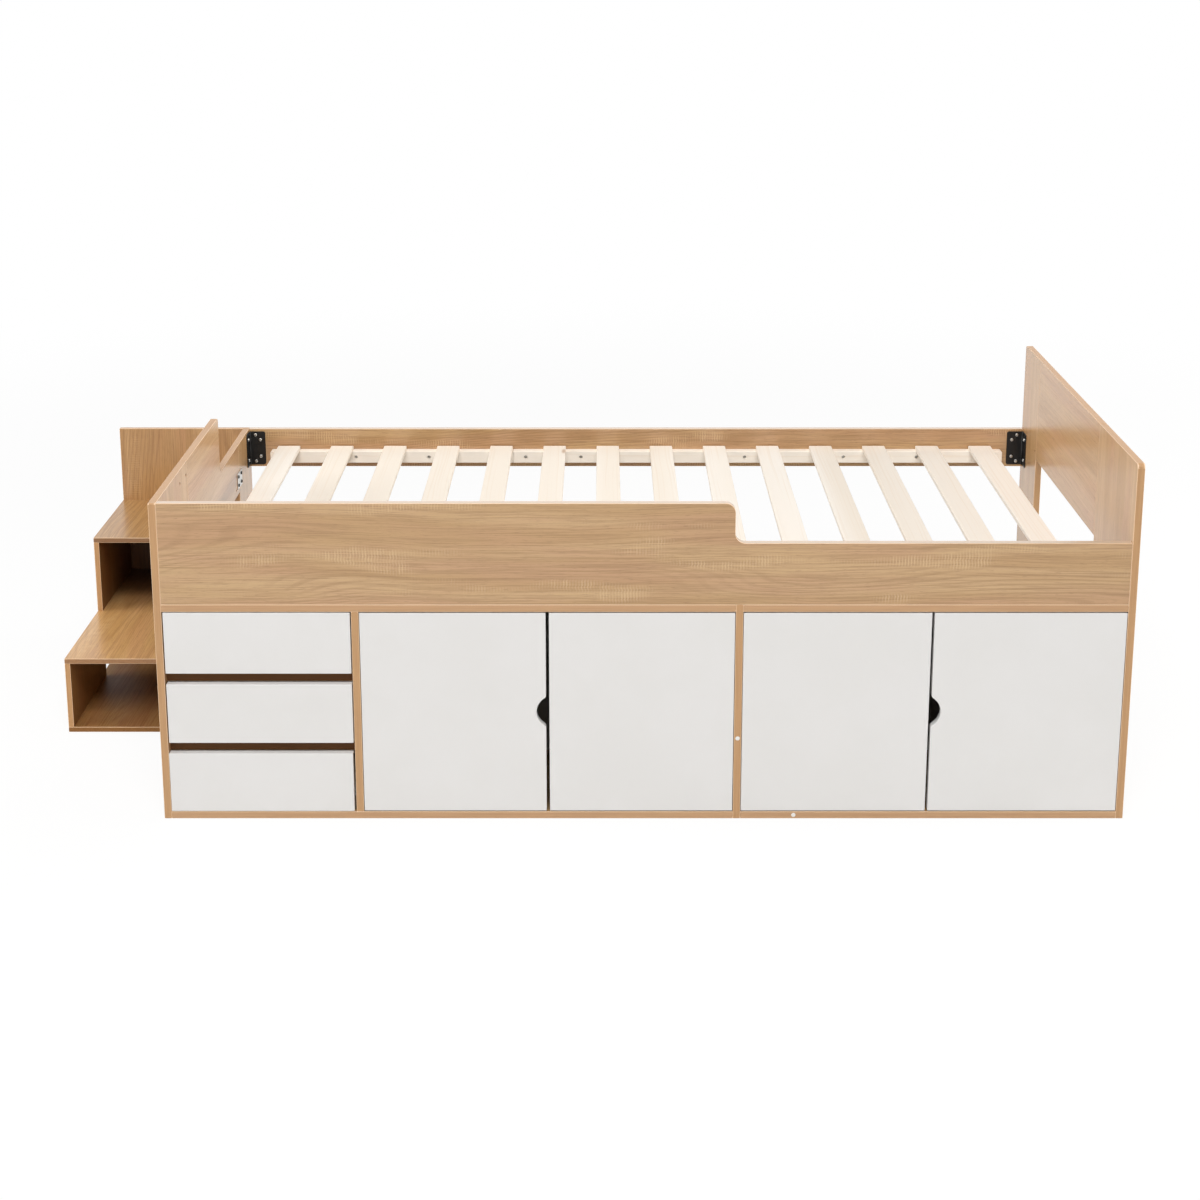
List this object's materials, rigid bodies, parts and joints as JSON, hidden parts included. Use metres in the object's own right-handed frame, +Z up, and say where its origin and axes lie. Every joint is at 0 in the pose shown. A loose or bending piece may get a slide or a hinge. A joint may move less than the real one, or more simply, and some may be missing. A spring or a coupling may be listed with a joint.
{
  "type": "storage bed frame",
  "caption": "Low cabin bed frame with a drawer and cupboard cabinet under its front half, a slatted base, a stepped guard rail and storage steps at one end.",
  "frame": {"origin": "centre of the bounding box on the floor, the side steps included", "axes": "+X along the bed towards the headboard, +Y from the cabinet front to the back, +Z up"},
  "size_m": [2.245, 0.94, 0.75],
  "materials": {
    "oak_board": "oak-look melamine on chipboard, satin, with matching edge bands",
    "white_front": "white melamine on chipboard, satin",
    "white_inner_board": "white coated board, matt",
    "pine": "planed bare pine, matt",
    "black_steel": "black powder coat",
    "zinc_steel": "bright zinc plate",
    "white_steel": "white powder coat, with white nylon rollers",
    "white_plastic": "moulded white plastic"
  },
  "bodies": {
    "frame": {"left_gable": "oak_board", "right_gable": "oak_board", "mid_divider": "oak_board", "drawer_divider": "oak_board", "cabinet_top_left": "oak_board", "cabinet_top_right": "oak_board", "cabinet_bottom_left": "oak_board", "cabinet_bottom_right": "oak_board", "front_guard_rail": "oak_board", "rear_rail": "oak_board", "left_rear_post": "oak_board", "right_rear_post": "oak_board", "footboard_panel": "oak_board", "headboard_panel": "oak_board", "drawer_stretchers": "oak_board", "step_bottom_board": "oak_board", "step_lower_side": "oak_board", "step_lower_tread": "oak_board", "step_upper_side": "oak_board", "step_upper_tread": "oak_board", "step_back_panel": "oak_board", "step_inner_sides": "oak_board", "slat_battens": "pine", "slats": "pine", "joint_dowels": "pine", "seam_plate": "zinc_steel", "wood_screws": "zinc_steel", "cam_fittings": "zinc_steel", "hinge_arms": "zinc_steel", "rail_brackets": "black_steel", "cover_caps": "white_plastic", "drawer_channels": "white_steel", "cabinet_backs": "white_inner_board"},
    "drawer_1": {"drawer_1_front": "white_front", "drawer_1_sides": "white_inner_board", "drawer_1_back": "white_inner_board", "drawer_1_bottom": "white_inner_board", "drawer_1_runners": "white_steel"},
    "drawer_2": {"drawer_2_front": "white_front", "drawer_2_sides": "white_inner_board", "drawer_2_back": "white_inner_board", "drawer_2_bottom": "white_inner_board", "drawer_2_runners": "white_steel"},
    "drawer_3": {"drawer_3_front": "white_front", "drawer_3_sides": "white_inner_board", "drawer_3_back": "white_inner_board", "drawer_3_bottom": "white_inner_board", "drawer_3_runners": "white_steel"},
    "door_1": {"door_1": "white_front", "door_1_hinge_cups": "zinc_steel"},
    "door_1_links": {"door_1_hinge_links": "zinc_steel"},
    "door_2": {"door_2": "white_front", "door_2_hinge_cups": "zinc_steel"},
    "door_2_links": {"door_2_hinge_links": "zinc_steel"},
    "door_3": {"door_3": "white_front", "door_3_hinge_cups": "zinc_steel"},
    "door_3_links": {"door_3_hinge_links": "zinc_steel"},
    "door_4": {"door_4": "white_front", "door_4_hinge_cups": "zinc_steel"},
    "door_4_links": {"door_4_hinge_links": "zinc_steel"}
  },
  "joints": [
    {"name": "drawer_1_slide", "type": "slide", "parent": "frame", "child": "drawer_1", "axis": [0, -1, 0], "range_m": [0, 0.19]},
    {"name": "drawer_2_slide", "type": "slide", "parent": "frame", "child": "drawer_2", "axis": [0, -1, 0], "range_m": [0, 0.19]},
    {"name": "drawer_3_slide", "type": "slide", "parent": "frame", "child": "drawer_3", "axis": [0, -1, 0], "range_m": [0, 0.19]},
    {"name": "door_1_swing", "type": "hinge", "parent": "frame", "child": "door_1", "pos_m": [-0.413, -0.47, 0.23], "axis": [0, 0, -1], "range_deg": [0, 90]},
    {"name": "door_1_link_turn", "type": "hinge", "parent": "frame", "child": "door_1_links", "pos_m": [-0.4025, -0.452, 0.23], "axis": [0, 0, -1], "range_deg": [0, 90]},
    {"name": "door_2_swing", "type": "hinge", "parent": "frame", "child": "door_2", "pos_m": [0.3325, -0.47, 0.23], "axis": [0, 0, 1], "range_deg": [0, 90]},
    {"name": "door_2_link_turn", "type": "hinge", "parent": "frame", "child": "door_2_links", "pos_m": [0.322, -0.452, 0.23], "axis": [0, 0, 1], "range_deg": [0, 90]},
    {"name": "door_3_swing", "type": "hinge", "parent": "frame", "child": "door_3", "pos_m": [0.3475, -0.47, 0.23], "axis": [0, 0, -1], "range_deg": [0, 90]},
    {"name": "door_3_link_turn", "type": "hinge", "parent": "frame", "child": "door_3_links", "pos_m": [0.358, -0.452, 0.23], "axis": [0, 0, -1], "range_deg": [0, 90]},
    {"name": "door_4_swing", "type": "hinge", "parent": "frame", "child": "door_4", "pos_m": [1.1075, -0.47, 0.23], "axis": [0, 0, 1], "range_deg": [0, 90]},
    {"name": "door_4_link_turn", "type": "hinge", "parent": "frame", "child": "door_4_links", "pos_m": [1.097, -0.452, 0.23], "axis": [0, 0, 1], "range_deg": [0, 90]}
  ],
  "couplings": [
    {"joint": "door_1_link_turn", "follows": "door_1_swing", "ratio": 1},
    {"joint": "door_2_link_turn", "follows": "door_2_swing", "ratio": 1},
    {"joint": "door_3_link_turn", "follows": "door_3_swing", "ratio": 1},
    {"joint": "door_4_link_turn", "follows": "door_4_swing", "ratio": 1}
  ]
}
